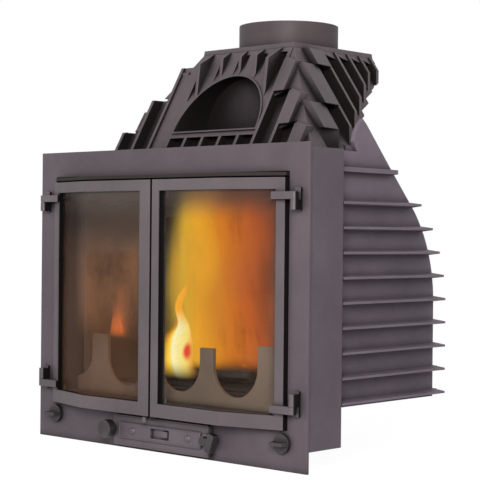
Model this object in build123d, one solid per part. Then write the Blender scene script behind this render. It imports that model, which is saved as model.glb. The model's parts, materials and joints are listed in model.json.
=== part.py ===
from build123d import *
import math
import os

# Cast iron fireplace insert with two bowed glass doors, a ribbed smoke dome and a flue collar.
# X runs to the right, Y runs to the back and Z runs up, in millimetres.
# The pieces are drawn from the front plate's front face, which is the plane Y = 0, with the
# floor at Z = 0. They are saved about a point midway across the ash box's underside.

# Driving dimensions

plate_width = 700.0
plate_height = 565.0
plate_thickness = 5.0
origin_depth = 150.0

casing_half_width = 345.0
casing_back = 98.0
casing_bottom = 36.0
casing_top = 557.0
sheet = 3.0
flange_thickness = 6.0
flange_bottom = 76.0

wall_half_width = 313.0
wall_thickness = 8.0
body_bottom = 100.0
body_back = 417.0
back_bend_start = 280.0
back_bend_radius = 262.0
back_lean = 46.0
casting_joint = 534.0
shoulder_peak_depth = 192.0
shoulder_peak_height = 617.0

fin_count = 9
fin_first_height = 110.0
fin_pitch = 44.2
fin_reach = 29.0
fin_root = 11.0
fin_tip = 4.0
top_fin_height = 523.0
top_fin_reach = 17.0
top_fin_tip = 8.0

dome_top = 775.0
dome_top_half_width = 118.0
dome_front_at_top = 226.5
dome_back = 470.0
dome_back_low = 722.0
dome_neck_back = 246.0
dome_front_lean = 0.58
dome_side_lean = 0.70
dome_rim = 10.0
dome_wall = 7.0
rib_depth = 26.0
rib_thickness = 7.0
hip_depth = 5.0
strip_ridge = 9.0
front_rib_pitch = 46.0
front_strip_setback = 26.0
front_strip_width = 35.0
side_rib_first = 212.0
side_rib_pitch = 47.5
side_rib_closing = 1.1
side_rib_count = 7
side_strip_width = 56.0
side_strip_ridge = 14.0
side_strip_setback = 57.0
rib_foot_height = 45.0
tunnel_radius = 108.0
tunnel_floor = 606.0
tunnel_back = 226.0

collar_radius = 100.0
collar_wall = 8.0
collar_height = 51.0

door_reach = 40.0
door_end_reach = 8.0
door_kink = 179.0
door_end = 302.0
door_gap_centre = 6.0
door_gap = 5.0
door_bottom = 71.0
door_top = 505.0
door_thickness = 16.0
centre_stile_left = 27.0
centre_stile_right = 16.0
end_stile = 16.0
top_rail = 19.0
bottom_rail = 23.0
glass_thickness = 4.0
glass_lap = 6.0
seal_size = 6.0

hinge_axis_x = 328.0
hinge_axis_y = -14.0
hinge_pin_radius = 3.5
knuckle_radius = 6.5

knob_x = 297.0
knob_z = 48.0
knob_radius = 17.0
spindle_radius = 4.0

panel_left = -121.0
panel_right = 127.0
panel_bottom = 5.0
panel_top = 62.5
panel_reach = 9.0

lever_x = 124.5
lever_z = 36.0
pull_x = -121.0
pull_z = 36.0

ash_half_width = 150.0
ash_front = 56.0
ash_back = 290.0
throat_floor = 86.0

valve_radius = 15.0
valve_hole_radius = 4.0
valve_hole_circle = 9.5

guard_front = 42.0
guard_thickness = 8.0
guard_bay_pitch = 143.0
guard_bay_radius = 55.0
guard_bay_bottom = 110.0
guard_end_radius = 44.0
guard_end_bottom = 122.0
guard_post_tops = (196.0, 207.0)
guard_half_width = 284.0

running_clearance = 0.05
joint_gap = 0.3


# Building blocks

def box(x0, x1, y0, y1, z0, z1):
    """A block between two corners."""
    middle = Pos((x0 + x1) / 2, (y0 + y1) / 2, (z0 + z1) / 2)
    return middle * Box(x1 - x0, y1 - y0, z1 - z0)


def prism_x(outline, x0, x1):
    """A depth and height outline drawn out along X."""
    return extrude(Plane.YZ.offset(x0) * make_face(Polyline(*outline, close=True)), x1 - x0)


def prism_y(outline, y0, y1):
    """A width and height outline drawn out along Y."""
    return extrude(Plane.XZ.offset(-y1) * make_face(Polyline(*outline, close=True)), y1 - y0)


def prism_z(outline, z0, z1):
    """A plan outline drawn out along Z."""
    return extrude(Plane.XY.offset(z0) * make_face(Polyline(*outline, close=True)), z1 - z0)


def rod_y(x, z, radius, y0, y1):
    """A round bar along Y."""
    return Pos(x, (y0 + y1) / 2, z) * Rot(90, 0, 0) * Cylinder(radius, y1 - y0)


def rod_z(x, y, radius, z0, z1):
    """A round bar along Z."""
    return Pos(x, y, (z0 + z1) / 2) * Cylinder(radius, z1 - z0)


def rounded_slab(x0, x1, z0, z1, y0, y1, radius):
    """A slab facing the front, with its four corners rounded."""
    outline = Pos((x0 + x1) / 2, (z0 + z1) / 2) * RectangleRounded(x1 - x0, z1 - z0, radius)
    return extrude(Plane.XZ.offset(-y1) * outline, y1 - y0)


def left_copy(shape):
    """The mirror image of a right-hand piece."""
    return shape.mirror(Plane.YZ)


def save(name, *solids):
    """Write one piece, or a group of like pieces, about the reference point."""
    pieces = []
    for solid in solids:
        pieces += solid.moved(Pos(0, -origin_depth, 0)).solids()
    shape = pieces[0] if len(pieces) == 1 else Compound(children=pieces)
    export_step(shape, f"parts/{name}.step")


# The bow shape that the doors and their frame share

bow_angle = math.atan2(door_reach - door_end_reach, door_end - door_kink)


def bow_line(x0, x1, depth):
    """Plan points from x0 to x1 on the bowed surface that lies depth behind the door fronts."""
    kink = door_kink - depth * math.tan(bow_angle / 2)
    flat = -door_reach + depth
    slope = math.tan(bow_angle)

    def height_at(x):
        return flat if abs(x) <= kink else flat + slope * (abs(x) - kink)

    bends = [(x, flat) for x in (-kink, kink) if x0 < x < x1]
    return [(x0, height_at(x0))] + bends + [(x1, height_at(x1))]


def bow_slab(x0, x1, front, back, z0, z1):
    """A bent slab between two depths behind the door fronts."""
    outline = bow_line(x0, x1, front) + bow_line(x0, x1, back)[::-1]
    return prism_z(outline, z0, z1)


# Front plate and casing

plate_opening_half = 305.5
plate_opening_bottom = 70.0
plate_opening_top = 516.0


def front_plate():
    """The flat cast plate that covers the edge of the fireplace opening."""
    back = plate_thickness + 1
    plate = box(-plate_width / 2, plate_width / 2, 0, plate_thickness, 0, plate_height)
    plate -= box(-plate_opening_half, plate_opening_half, -1, back,
                 plate_opening_bottom, plate_opening_top)
    bore = spindle_radius + running_clearance
    for x, z in ((-knob_x, knob_z), (knob_x, knob_z), (lever_x, lever_z), (pull_x, pull_z)):
        plate -= rod_y(x, z, bore, -1, back)
    for x in (-knob_x, knob_x):
        for hole in valve_holes(x, 90, -1, back):
            plate -= hole
    plate -= box(window_left, window_right, -1, back, window_bottom, window_top)
    return plate


def valve_holes(x, turn, y0, y1):
    """Three air holes round a knob's spindle, turned by some degrees."""
    holes = []
    for number in range(3):
        angle = math.radians(turn + 120 * number)
        across = x + valve_hole_circle * math.cos(angle)
        up = knob_z + valve_hole_circle * math.sin(angle)
        holes.append(rod_y(across, up, valve_hole_radius, y0, y1))
    return holes


def casing_side():
    """The right side sheet of the casing behind the front plate."""
    side = box(casing_half_width - sheet, casing_half_width, plate_thickness, casing_back,
               casing_bottom, casing_top)
    lip = 14.0
    side += box(casing_half_width - lip, casing_half_width, casing_back - sheet, casing_back,
                flange_bottom, casing_top)
    return side


def casing_floor():
    """The right half of the casing's bottom sheet, beside the ash box."""
    front = plate_thickness + 11
    return box(ash_half_width + 2, casing_half_width - sheet, front, casing_back - sheet,
               casing_bottom, casing_bottom + sheet)


def casing_roof():
    """The top sheet of the casing."""
    reach = casing_half_width - sheet
    return box(-reach, reach, plate_thickness, casing_back - sheet, casing_top - sheet, casing_top)


def body_flange():
    """The frame that joins the casing to the cast body."""
    back = casing_back + flange_thickness
    reach = casing_half_width - 5
    flange = box(-reach, reach, casing_back, back, flange_bottom, casing_top)
    flange -= box(-300, 300, casing_back - 1, back + 1, body_bottom + 8, 520)
    cut = ash_half_width + 2
    flange -= box(-cut, cut, casing_back - 1, back + 1, 0, body_bottom + 9)
    return flange


# Cast body

body_front = casing_back + flange_thickness
lean = math.radians(back_lean)
bend_end_depth = body_back - back_bend_radius * (1 - math.cos(lean))
bend_end_height = back_bend_start + back_bend_radius * math.sin(lean)
shoulder_slope = (bend_end_depth - shoulder_peak_depth) / (shoulder_peak_height - bend_end_height)


def back_depth(height):
    """How far back the body's outer surface is at a height."""
    if height <= back_bend_start:
        return body_back
    if height <= bend_end_height:
        rise = height - back_bend_start
        return body_back - back_bend_radius + math.sqrt(back_bend_radius**2 - rise**2)
    return bend_end_depth - shoulder_slope * (height - bend_end_height)


def back_face(inset, front, top):
    """A depth and height face bounded by the body's curved back, inset by a distance."""
    half = lean / 2
    start = (body_back - inset, back_bend_start)
    radius = back_bend_radius - inset
    centre = body_back - back_bend_radius
    middle = (centre + radius * math.cos(half), back_bend_start + radius * math.sin(half))
    end = (centre + radius * math.cos(lean), back_bend_start + radius * math.sin(lean))
    run = math.hypot(1, shoulder_slope)
    top_depth = back_depth(top) - inset * run
    edges = [
        Line((front, body_bottom), (body_back - inset, body_bottom)),
        Line((body_back - inset, body_bottom), start),
        ThreePointArc(start, middle, end),
        Line(end, (top_depth, top)),
        Line((top_depth, top), (front, top)),
        Line((front, top), (front, body_bottom)),
    ]
    return make_face(edges)


def side_fin(height, reach, tip_size):
    """One tapered fin on the outside of the right wall."""
    root = wall_half_width - 1
    tip = wall_half_width + reach
    outline = [
        (root, height - fin_root / 2),
        (tip, height - tip_size / 2),
        (tip, height + tip_size / 2),
        (root, height + fin_root / 2),
    ]
    return prism_y(outline, body_front, back_depth(height + fin_root / 2) - 1)


def back_fin(height, reach, tip_size):
    """One tapered fin across the back wall."""
    surface = back_depth(height)
    root = surface - 3
    tip = surface + reach - 3
    outline = [
        (root, height - fin_root / 2),
        (tip, height - tip_size / 2),
        (tip, height + tip_size / 2),
        (root, height + fin_root / 2),
    ]
    return prism_x(outline, -wall_half_width + 2, wall_half_width - 2)


fins = [(fin_first_height + fin_pitch * number, fin_reach, fin_tip) for number in range(fin_count)]
fins.append((top_fin_height, top_fin_reach, top_fin_tip))


def side_wall():
    """The right wall of the fire chamber with its fins."""
    face = Plane.YZ.offset(wall_half_width - wall_thickness) * back_face(0, body_front, casting_joint)
    wall = extrude(face, wall_thickness)
    for fin in fins:
        wall += side_fin(*fin)
    return wall


def back_wall():
    """The curved back wall between the side walls, with its fins."""
    half = wall_half_width - wall_thickness
    outer = extrude(Plane.YZ.offset(-half) * back_face(0, body_front, casting_joint), 2 * half)
    inner = extrude(Plane.YZ.offset(-half) * back_face(wall_thickness, body_front, casting_joint),
                    2 * half)
    wall = outer - inner
    for fin in fins:
        wall += back_fin(*fin) & box(-half, half, 200, 600, 0, casting_joint)
    return wall


grate_half_width = 130.0
grate_front = 130.0
grate_back = 270.0
floor_thickness = 8.0
grate_slot_pitch = 20.0
grate_slot_half = 5.0


def base_plate():
    """The floor of the fire chamber, open where the grate lies."""
    half = wall_half_width - wall_thickness
    plate = box(-half, half, body_front, body_back - wall_thickness,
                body_bottom, body_bottom + floor_thickness)
    plate -= box(-grate_half_width, grate_half_width, grate_front, grate_back,
                 body_bottom - 1, body_bottom + floor_thickness + 1)
    lip = 6.0
    plate -= box(-grate_half_width - lip, grate_half_width + lip, grate_front - lip,
                 grate_back + lip, body_bottom + floor_thickness / 2,
                 body_bottom + floor_thickness + 1)
    return plate


def fire_grate():
    """The slotted grate that lies in the rebate of the floor."""
    edge = 5.5
    bottom = body_bottom + floor_thickness / 2
    grate = box(-grate_half_width - edge, grate_half_width + edge, grate_front - edge,
                grate_back + edge, bottom, bottom + 10)
    middle = (grate_front + grate_back) / 2
    for number in range(-5, 6):
        x = number * grate_slot_pitch
        for y0, y1 in ((grate_front + 6, middle - 6), (middle + 6, grate_back - 6)):
            grate -= box(x - grate_slot_half, x + grate_slot_half, y0, y1,
                         bottom - 1, bottom + 11)
    return grate


neck_half_width = 236.0
kerb_inner = 286.5

ear_outline = [
    (back_depth(casting_joint), casting_joint),
    (shoulder_peak_depth + 12, shoulder_peak_height - 10),
    (shoulder_peak_depth, shoulder_peak_height),
    (shoulder_peak_depth - 12, shoulder_peak_height - 12),
    (shoulder_peak_depth - 22, shoulder_peak_height - 28),
    (shoulder_peak_depth - 25, shoulder_peak_height - 42),
    (shoulder_peak_depth - 16, casing_top),
    (body_front, casing_top),
    (body_front, casting_joint),
]


def top_casting():
    """The casting above the joint: a roof round the dome's foot and an upright ear each side."""
    ear = prism_x(ear_outline, wall_half_width - wall_thickness, wall_half_width)
    casting = ear + left_copy(ear)
    reach = wall_half_width - wall_thickness + 1
    roof_back = back_depth(casing_top)
    roof = box(-reach, reach, body_front, roof_back - 1, casing_top - wall_thickness, casing_top)
    roof -= box(-neck_half_width, neck_half_width, body_front + 28, roof_back - 12,
                casing_top - wall_thickness - 1, casing_top + 1)
    slope = [
        (back_depth(casting_joint) - 11, casting_joint),
        (back_depth(casting_joint), casting_joint),
        (roof_back, casing_top),
        (roof_back - 11, casing_top),
    ]
    casting += roof
    kerb = box(kerb_inner, reach, shoulder_peak_depth - 16, roof_back - 1,
               casing_top - 1, casing_top + 11)
    casting += kerb
    casting += left_copy(kerb)
    casting += prism_x(slope, -reach, reach)
    casting += box(-reach, reach, body_front, body_front + wall_thickness,
                   casting_joint, casing_top)
    return casting


# Smoke dome

def dome_front(height):
    """Depth of the dome's sloping front at a height."""
    return dome_front_at_top - dome_front_lean * (dome_top - height)


def dome_side(height):
    """Half width of the dome at a height."""
    return dome_top_half_width + dome_side_lean * (dome_top - height)


dome_base = casing_top
underside_slope = (dome_back_low - dome_base) / (dome_back + 2 - dome_neck_back)


def dome_underside(depth):
    """Height of the dome's rising underside at a depth."""
    return dome_base + max(0.0, depth - dome_neck_back) * underside_slope


def dome_solid(side_inset, front_inset, back_inset, under_inset, low, high):
    """The leaning hipped block of the dome, with each of its slopes drawn in."""
    trapezoid = [
        (-dome_side(low) + side_inset, low),
        (dome_side(low) - side_inset, low),
        (dome_side(high) - side_inset, high),
        (-dome_side(high) + side_inset, high),
    ]
    profile = [
        (dome_front(low) + front_inset, low),
        (dome_front(high) + front_inset, high),
        (dome_back - back_inset, high),
        (dome_back + 2 - back_inset, dome_back_low + under_inset),
        (dome_neck_back - back_inset, dome_base + under_inset),
        (dome_neck_back - back_inset, low),
    ]
    if low >= dome_base + under_inset:
        # The last two points fall together here, so one is enough.
        profile.pop()
    wide = dome_side(low) + 10
    return prism_y(trapezoid, 0, 600) & prism_x(profile, -wide, wide)


rim_bottom = dome_top - dome_rim
sill_top = tunnel_floor - 13
half_rib = rib_thickness / 2
front_rib_places = [front_rib_pitch * (count + 0.5) for count in range(2, 6)]
side_rib_depths = [side_rib_first + (side_rib_pitch - side_rib_closing * number) * number
                   for number in range(side_rib_count)]


def hip_height_over(x):
    """Height at which the sloping side passes a distance from the middle."""
    return dome_top - (x - dome_top_half_width) / dome_side_lean


def hip_height_at(depth):
    """Height at which the sloping front passes a depth."""
    return dome_top - (dome_front_at_top - depth) / dome_front_lean


def front_step(x):
    """Where the raised strip beside a front rib ends, at the hip."""
    return hip_height_over(x + front_strip_setback)


def side_step(depth):
    """Where the raised strip before a side rib ends, near the hip."""
    return min(rim_bottom, hip_height_at(depth - side_strip_setback))


def front_layer(thickness):
    """The dome's skin along its sloping front, to a thickness."""
    outer = dome_solid(0, 0, 0, 0, dome_base, rim_bottom)
    return outer - dome_solid(-1, thickness, -5, -20, dome_base - 1, rim_bottom + 1)


def side_layer(thickness):
    """The dome's skin along its sloping sides, to a thickness."""
    outer = dome_solid(0, 0, 0, 0, dome_base, rim_bottom)
    return outer - dome_solid(thickness, -1, -5, -20, dome_base - 1, rim_bottom + 1)


def sheared(outline, low, high, lean_x, lean_y):
    """A plan outline at the low height, drawn up along a slope."""
    direction = Vector(lean_x, lean_y, 1)
    face = Plane.XY.offset(low) * make_face(Polyline(*outline, close=True))
    return extrude(face, (high - low) * direction.length, dir=direction)


def front_strip(x, low, top):
    """The raised strip beside a front rib: a wedge that stands proudest at its outer edge."""
    start = dome_front(low)
    outline = [
        (x, start),
        (x + front_strip_width, start - strip_ridge),
        (x + front_strip_width, start + hip_depth + 6),
        (x, start + hip_depth + 6),
    ]
    wedge = sheared(outline, low, top + 5, 0, dome_front_lean)
    trim = [
        (x - 1, low - 1),
        (x + front_strip_width + 1, low - 1),
        (x + front_strip_width + 1, top - 8),
        (x - 1, top + 4),
    ]
    return wedge & prism_y(trim, 0, 400)


def side_strip(depth, low, top):
    """The raised strip before a side rib: a wedge that stands proudest at its front edge."""
    start = dome_side(low)
    front = depth - side_strip_width
    rear = depth + half_rib
    outline = [
        (start, rear),
        (start + side_strip_ridge, front),
        (start - hip_depth - 6, front),
        (start - hip_depth - 6, rear),
    ]
    return sheared(outline, low, top, -dome_side_lean, 0)


def right_front_strips():
    """The raised strips and ribs on the right half of the front, proud of the smooth hip."""
    skin = front_layer(hip_depth + 1)
    strips = []
    for x, following in zip(front_rib_places, front_rib_places[1:]):
        top = front_step(x)
        strips.append(skin & box(x - half_rib, x + half_rib, 0, 600, dome_base, top))
        strips.append(front_strip(x, max(dome_base, front_step(following)), top))
    return strips


def left_front_plate(inner, outer, setback):
    """A thin rib on the left half of the front, with the panel that joins it to the dome."""
    start = dome_front(dome_base)
    outline = [
        (-outer - half_rib, start),
        (-outer + half_rib, start),
        (-outer + half_rib, start + setback),
        (-inner, start + setback),
        (-inner, start + setback + dome_wall),
        (-outer - half_rib, start + setback + dome_wall),
    ]
    return sheared(outline, dome_base, front_step(inner), 0, dome_front_lean)


def left_front_hollow(inner, outer, ceiling):
    """The hollow between two ribs on the left half of the front."""
    low = dome_base - 1
    start = dome_front(low)
    outline = [
        (-outer + half_rib, start - 3),
        (-inner - half_rib, start - 3),
        (-inner - half_rib, start + rib_depth),
        (-outer + half_rib, start + rib_depth),
    ]
    return sheared(outline, low, ceiling, 0, dome_front_lean)


def side_strips():
    """The right side's raised strips and ribs."""
    flank = side_layer(hip_depth + 1)
    strips = []
    low = dome_base
    for depth in side_rib_depths:
        top = side_step(depth)
        strips.append(flank & box(0, 400, depth - half_rib, depth + half_rib, dome_base, top))
        if top > low:
            strips.append(side_strip(depth, low, top))
            low = top
    return strips


def right_front_pockets():
    """The hollows between the ribs on the right half of the front, each under its own step."""
    skin = front_layer(rib_depth)
    slant = 10.0
    pockets = []
    for x, following in zip(front_rib_places, front_rib_places[1:]):
        ceiling = front_step(following)
        if ceiling > dome_base + 2 * slant:
            outline = [
                (x + half_rib, dome_base - 1),
                (following - half_rib, dome_base - 1),
                (following - half_rib, ceiling + slant / 2),
                (x + half_rib, ceiling - slant),
            ]
            pockets.append(skin & prism_y(outline, 0, 600))
    return pockets


def side_pockets():
    """The hollows between the ribs of the right side, each under its own step."""
    flank = side_layer(rib_depth)
    slant = 5.0
    pockets = []
    for depth, following in zip(side_rib_depths, side_rib_depths[1:] + [dome_back + 10]):
        ceiling = min(side_step(depth), rim_bottom - 4 - slant)
        outline = [
            (depth + half_rib, dome_base - 1),
            (following - half_rib, dome_base - 1),
            (following - half_rib, ceiling - slant),
            (depth + half_rib, ceiling + slant),
        ]
        pockets.append(flank & prism_x(outline, 0, 400))
    return pockets


def rib_feet():
    """What is cut off the lower ends of the ribs on the right side, so that they end upright."""
    cuts = []
    for number, depth in enumerate(side_rib_depths):
        kink = min(dome_underside(depth) + rib_foot_height, dome_top - 36)
        start = depth - side_strip_width if number == 0 else depth - side_rib_pitch / 2
        cuts.append(box(dome_side(kink), 400, start, depth + side_rib_pitch / 2,
                        dome_base + 6, kink))
    return cuts


def tunnel(radius, floor, y0, y1):
    """A half-round bar along the tunnel."""
    bar = rod_y(0, tunnel_floor, radius, y0, y1)
    return bar - box(-400, 400, y0 - 1, y1 + 1, 0, floor)


upright_ribs = [number * (front_rib_pitch - 1) for number in (-2, -1, 0, 1, 2)]
upright_rib_setback = 7.0
upright_rib_lean = 0.13
upright_rib_rise = 26.0
scoop_flare = 0.14
scoop_start_width = 4.0


def crown_height(x):
    """Height of the recess's round edge at a distance from the middle."""
    return tunnel_floor + math.sqrt(tunnel_radius**2 - x**2) + 3


def upright_rib(x):
    """One rib that stands between the recess and the dome's top edge."""
    crown = crown_height(x)
    reach = dome_front(crown) + upright_rib_setback
    peak = min(rim_bottom - 12, (crown + rim_bottom) / 2 + upright_rib_rise)
    outline = [
        (reach, crown),
        (reach + upright_rib_lean * (peak - crown), peak),
        (dome_front(rim_bottom), rim_bottom),
        (dome_front(rim_bottom) + rib_depth, rim_bottom),
        (dome_front(crown) + rib_depth, crown),
    ]
    return prism_x(outline, x - half_rib, x + half_rib)


def upright_scoop(x):
    """The hollow on the outer side of an upright rib on the right half, deepest at its top."""
    crown = crown_height(x)
    top = rim_bottom - 8
    width = scoop_flare * (top - crown) + scoop_start_width
    tallest = top - crown_height(upright_ribs[-1])
    outline = [
        (dome_front(crown) - 1, crown),
        (dome_front(crown) + 4, crown),
        (dome_front(top) + rib_depth * (top - crown) / tallest, top),
        (dome_front(top) - 1, top),
    ]
    return prism_x(outline, x + half_rib, x + half_rib + width)


def sill_pockets():
    """The row of hollows under the recess, between short upright ribs."""
    skin = front_layer(rib_depth)
    pockets = []
    for number in range(-2, 3):
        middle = number * front_rib_pitch
        half = front_rib_pitch / 2 - half_rib
        pockets.append(skin & box(middle - half, middle + half, 0, 600, dome_base - 1, sill_top))
    return pockets


def smoke_dome():
    """The ribbed dome: a hollow casting with a half-round recess in its front."""
    dome = dome_solid(hip_depth, hip_depth, 0, 0, dome_base, rim_bottom)
    envelope = dome_solid(0, 0, 0, 0, dome_base, rim_bottom)
    middle = front_rib_places[0] + half_rib
    dome += dome_solid(0, 3, 0, 0, dome_base, rim_bottom) & box(
        -middle, middle, 0, 300, dome_base, rim_bottom)
    dome += tunnel(tunnel_radius + 3, tunnel_floor - 3, 0, tunnel_back) & envelope
    for strip in right_front_strips():
        dome += strip
    for strip in side_strips():
        dome += strip
        dome += left_copy(strip)
    for pocket in right_front_pockets():
        dome -= pocket
    for pocket in side_pockets() + rib_feet():
        dome -= pocket
        dome -= left_copy(pocket)
    for number, (inner, outer) in enumerate(zip(front_rib_places, front_rib_places[1:])):
        beside_recess = number == 0
        dome -= left_front_hollow(inner, outer, sill_top if beside_recess else front_step(inner) + 2)
        dome += left_front_plate(inner, outer, hip_depth if beside_recess else rib_depth)
    for x in upright_ribs[2:]:
        dome -= upright_scoop(x)
        dome -= left_copy(upright_scoop(x))
    for x in upright_ribs:
        dome += upright_rib(x)
    for pocket in sill_pockets():
        dome -= pocket
    inset = rib_depth + dome_wall
    hollow = dome_solid(inset, inset, dome_wall + 2, dome_wall + 2, dome_base - 5, rim_bottom + 5)
    hollow -= tunnel(tunnel_radius + dome_wall, tunnel_floor - dome_wall, 0,
                     tunnel_back + dome_wall)
    dome -= hollow
    dome -= tunnel(tunnel_radius, tunnel_floor, 0, tunnel_back)
    return dome


def dome_lid():
    """The dome's flat top, whose edge goes on with the slopes and which carries the collar."""
    half = dome_side(rim_bottom) - hip_depth
    trapezoid = [
        (-half, rim_bottom),
        (half, rim_bottom),
        (dome_top_half_width, dome_top),
        (-dome_top_half_width, dome_top),
    ]
    profile = [
        (dome_front(rim_bottom) + hip_depth, rim_bottom),
        (dome_front_at_top, dome_top),
        (dome_back, dome_top),
        (dome_back, rim_bottom),
    ]
    lid = prism_y(trapezoid, 0, 600) & prism_x(profile, -200, 200)
    lid -= rod_z(0, collar_centre, collar_radius - collar_wall - 18, 700, 800)
    return lid


collar_centre = (dome_front_at_top + dome_back) / 2


def flue_collar():
    """The round collar that takes the flue pipe, bolted down through an inner lip."""
    top = dome_top + collar_height
    collar = rod_z(0, collar_centre, collar_radius, dome_top, top)
    collar -= rod_z(0, collar_centre, collar_radius - collar_wall, dome_top + 6, top + 1)
    collar -= rod_z(0, collar_centre, collar_radius - collar_wall - 18, dome_top - 1, dome_top + 7)
    return collar


def collar_bolts():
    """Four bolts on the collar's inner lip."""
    radius = collar_radius - collar_wall - 9
    bolts = []
    lip_top = dome_top + 6
    for number in range(4):
        turn = math.radians(45 + 90 * number)
        x = radius * math.cos(turn)
        y = collar_centre + radius * math.sin(turn)
        bolts.append(Pos(x, y, lip_top) * extrude(RegularPolygon(6.5, 6), 5))
    return bolts


# Door frame and doors

seal_back = door_thickness + seal_size
frame_back = 25.0
throat_half_width = 299.0
end_clear = door_end - end_stile


def door_frame():
    """The fixed bowed frame that the door seals close against."""
    front = seal_back + joint_gap
    half = plate_opening_half - 1.5
    low = plate_opening_bottom + 0.5
    high = plate_opening_top - 2
    outline = bow_line(-half, half, front) + [(half, frame_back), (-half, frame_back)]
    frame = prism_z(outline, low, high)
    rim = 12.0
    ring = box(-half - rim, half + rim, plate_thickness, frame_back,
               plate_opening_bottom - 4, high + rim)
    ring -= box(-half, half, 0, frame_back + 1, low, high)
    frame += ring
    lip_half = door_end - 0.5
    frame += bow_slab(-lip_half, lip_half, 3, front + 4, door_top + 3, high)
    frame -= box(-end_clear, end_clear, -60, frame_back + 1,
                 door_bottom + bottom_rail, door_top - top_rail)
    return frame


def throat():
    """The square sleeve between the door frame and the cast body."""
    half = throat_half_width
    low = throat_floor - sheet
    high = 520.0
    front = frame_back
    sleeve = box(-half, half, front, casing_back, low, high)
    sleeve -= box(-half + sheet, half - sheet, front - 1, casing_back + 1, low + sheet, high - sheet)
    cut = ash_half_width + 2
    sleeve -= box(-cut, cut, ash_front, casing_back + 1, low - 1, body_bottom + 1)
    return sleeve


def door_panel(x0, x1, left_stile, right_stile):
    """A bowed door frame with its glass rebate."""
    z0 = door_bottom
    z1 = door_top
    panel = bow_slab(x0, x1, 0, door_thickness, z0, z1)
    panel -= bow_slab(x0 + left_stile, x1 - right_stile, -5, door_thickness + 5,
                      z0 + bottom_rail, z1 - top_rail)
    panel -= bow_slab(x0 + left_stile - glass_lap, x1 - right_stile + glass_lap,
                      door_thickness / 2, door_thickness + 5,
                      z0 + bottom_rail - glass_lap, z1 - top_rail + glass_lap)
    return panel


def door_glass(x0, x1, left_stile, right_stile):
    """The bent ceramic pane of a door, a little smaller than its rebate."""
    lap = glass_lap - 1
    return bow_slab(x0 + left_stile - lap, x1 - right_stile + lap,
                    door_thickness / 2, door_thickness / 2 + glass_thickness,
                    door_bottom + bottom_rail - lap, door_top - top_rail + lap)


def door_seal(x0, x1):
    """The rope seal round the back of a door."""
    edge = 2.0
    width = 7.0
    seal = bow_slab(x0 + edge, x1 - edge, door_thickness, seal_back,
                    door_bottom + 5, door_top - edge)
    seal -= bow_slab(x0 + edge + width, x1 - edge - width, door_thickness - 3, seal_back + 5,
                     door_bottom + 5 + width, door_top - edge - width)
    return seal


def glass_clips(x0, x1, left_stile, right_stile):
    """Four clips in the corners of the rebate, which hold the pane from behind."""
    glass_back = door_thickness / 2 + glass_thickness
    length = 18.0
    left = x0 + left_stile - glass_lap
    right = x1 - right_stile + glass_lap
    low = door_bottom + bottom_rail - glass_lap
    high = door_top - top_rail + glass_lap
    clips = []
    for near, far in ((left, left + length), (right - length, right)):
        for bottom, top in ((low, low + length), (high - length, high)):
            clips.append(bow_slab(near, far, glass_back, glass_back + 2.5, bottom, top))
    return clips


right_x0 = door_gap_centre + door_gap / 2
left_x1 = door_gap_centre - door_gap / 2

hinge_levels = ((449.0, 466.5), (114.5, 136.0))
hinge_base_levels = ((447.0, 487.0), (96.0, 140.0))
hinge_base_thickness = 5.0
arm_levels = ((467.0, 480.0), (101.0, 114.0))
pin_end = 3.0


def hinge_blocks():
    """The two right-hand blocks on the front plate, each with the knuckle that holds a pin."""
    blocks = []
    inner = hinge_axis_x - knuckle_radius
    outer = hinge_axis_x + knuckle_radius
    for (low, high), (base_low, base_high) in zip(hinge_levels, hinge_base_levels):
        block = rod_z(hinge_axis_x, hinge_axis_y, knuckle_radius, low, high)
        block += box(inner, outer, hinge_axis_y, 0, low, high)
        block += box(inner, outer, -hinge_base_thickness, 0, base_low, base_high)
        block -= rod_z(hinge_axis_x, hinge_axis_y, hinge_pin_radius, low - 1, high + 1)
        blocks.append(block)
    return blocks


def hinge_pins():
    """The two right-hand pins, pressed into the blocks and running in the door's arms."""
    upper = rod_z(hinge_axis_x, hinge_axis_y, hinge_pin_radius, hinge_levels[0][0],
                  arm_levels[0][1] - pin_end)
    lower = rod_z(hinge_axis_x, hinge_axis_y, hinge_pin_radius, arm_levels[1][0] + pin_end,
                  hinge_levels[1][1])
    return [upper, lower]


def hinge_arms():
    """The two arms of the right door, with the eyes that turn on the pins."""
    arms = []
    inner = door_end - end_stile - 6
    for number, (low, high) in enumerate(arm_levels):
        eye = rod_z(hinge_axis_x, hinge_axis_y, knuckle_radius, low, high)
        strap = [
            (inner, bow_line(0, inner, 0)[-1][1] - 6),
            (door_end + 4, hinge_axis_y - knuckle_radius),
            (hinge_axis_x, hinge_axis_y - knuckle_radius),
            (hinge_axis_x, hinge_axis_y + 2),
            (door_end, bow_line(0, door_end, 0)[-1][1]),
            (inner, bow_line(0, inner, 0)[-1][1]),
        ]
        arm = eye + prism_z(strap, low, high)
        z0, z1 = (low - 1, high - 2) if number == 0 else (low + 2, high + 1)
        arm -= rod_z(hinge_axis_x, hinge_axis_y, hinge_pin_radius + running_clearance, z0, z1)
        arms.append(arm)
    return arms


# Controls on the front plate

boss_radius = 12.5
screw_places = (-67.5, 77.5)
screw_z = 34.7
screw_radius = 2.5
control_plate_thickness = 3.0
window_left = -19.5
window_right = 29.5
window_bottom = 26.0
window_top = 44.5


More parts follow.
